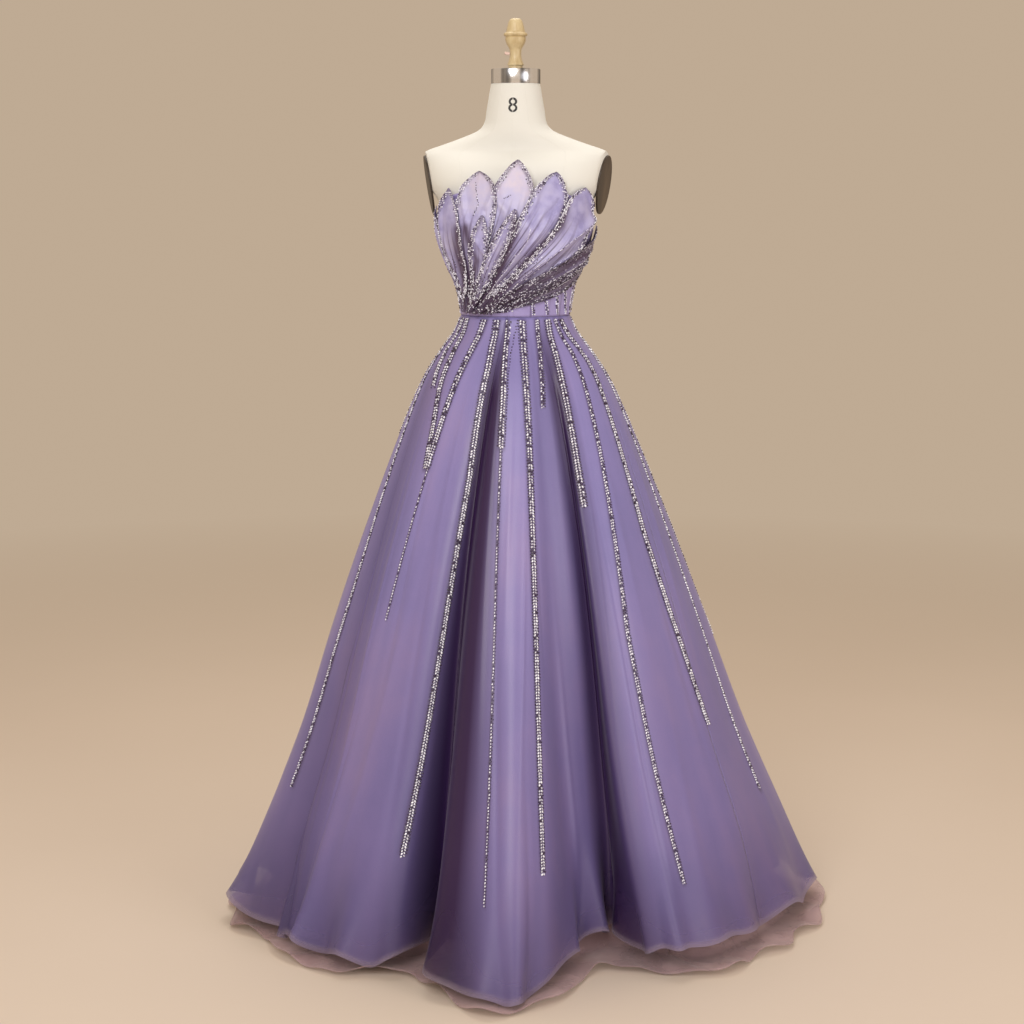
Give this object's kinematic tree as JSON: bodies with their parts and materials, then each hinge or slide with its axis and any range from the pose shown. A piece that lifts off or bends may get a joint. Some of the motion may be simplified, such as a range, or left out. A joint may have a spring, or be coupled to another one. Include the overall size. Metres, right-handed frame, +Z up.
{
  "type": "prom dress on a limbless dress form",
  "caption": "Strapless prom gown with an overlapping petal bodice and a full folded organza skirt over a tulle flounce, on a limbless dress form.",
  "frame": {"origin": "on the floor at the axis of the stand, in the middle of the underside of its base", "axes": "+Z up; the gown faces -Y; +X is the wearer's left"},
  "size_m": [1.2143, 1.2147, 1.82],
  "materials": {
    "linen": "off-white linen cover",
    "chrome": "polished chrome",
    "wood": "pale turned wood, clear lacquer",
    "peg": "pale wood, pinkish",
    "arm_plate": "dark brown stained wood",
    "steel": "dark grey steel",
    "bodice": "lilac satin under beaded lines",
    "petal": "lilac organza petals with beaded edges",
    "organza": "sheer lilac organza",
    "underskirt": "opaque violet satin lining the organza",
    "tulle": "sheer mauve tulle",
    "zip": "lilac tape and metallised teeth"
  },
  "bodies": {
    "dress_on_form": {"bodice_back_right": "bodice", "bodice_side_back_right": "bodice", "bodice_side_front_right": "bodice", "bodice_front_right": "bodice", "bodice_front_centre": "bodice", "bodice_front_left": "bodice", "bodice_side_front_left": "bodice", "bodice_side_back_left": "bodice", "bodice_back_left": "bodice", "petal_1": "petal", "petal_2": "petal", "petal_3": "petal", "petal_4": "petal", "petal_5": "petal", "petal_6": "petal", "petal_7": "petal", "petal_8": "petal", "drape_1": "petal", "drape_2": "petal", "drape_3": "petal", "skirt_back_right": "organza", "skirt_side_back_right": "organza", "skirt_side_right": "organza", "skirt_front_right": "organza", "skirt_front_centre": "organza", "skirt_front_left": "organza", "skirt_side_left": "organza", "skirt_side_back_left": "organza", "skirt_back_left": "organza", "underskirt_front": "underskirt", "tulle_front": "tulle", "underskirt_left": "underskirt", "tulle_left": "tulle", "underskirt_back": "underskirt", "tulle_back": "tulle", "underskirt_right": "underskirt", "tulle_right": "tulle", "zip_chain": "zip", "zip_slider": "zip", "form_torso": "linen", "form_neck_band": "chrome", "form_finial": "wood", "form_finial_peg": "peg", "form_arm_plate_left": "arm_plate", "form_arm_plate_right": "arm_plate", "stand_pole": "steel", "stand_base": "steel"},
    "zip_pull": {"zip_pull_tab": "zip"}
  },
  "joints": [
    {"name": "zip_pull_swing", "type": "hinge", "parent": "dress_on_form", "child": "zip_pull", "pos_m": [0, 0.10779, 1.39079], "axis": [1, 0, 0], "range_deg": [0, 120]}
  ]
}
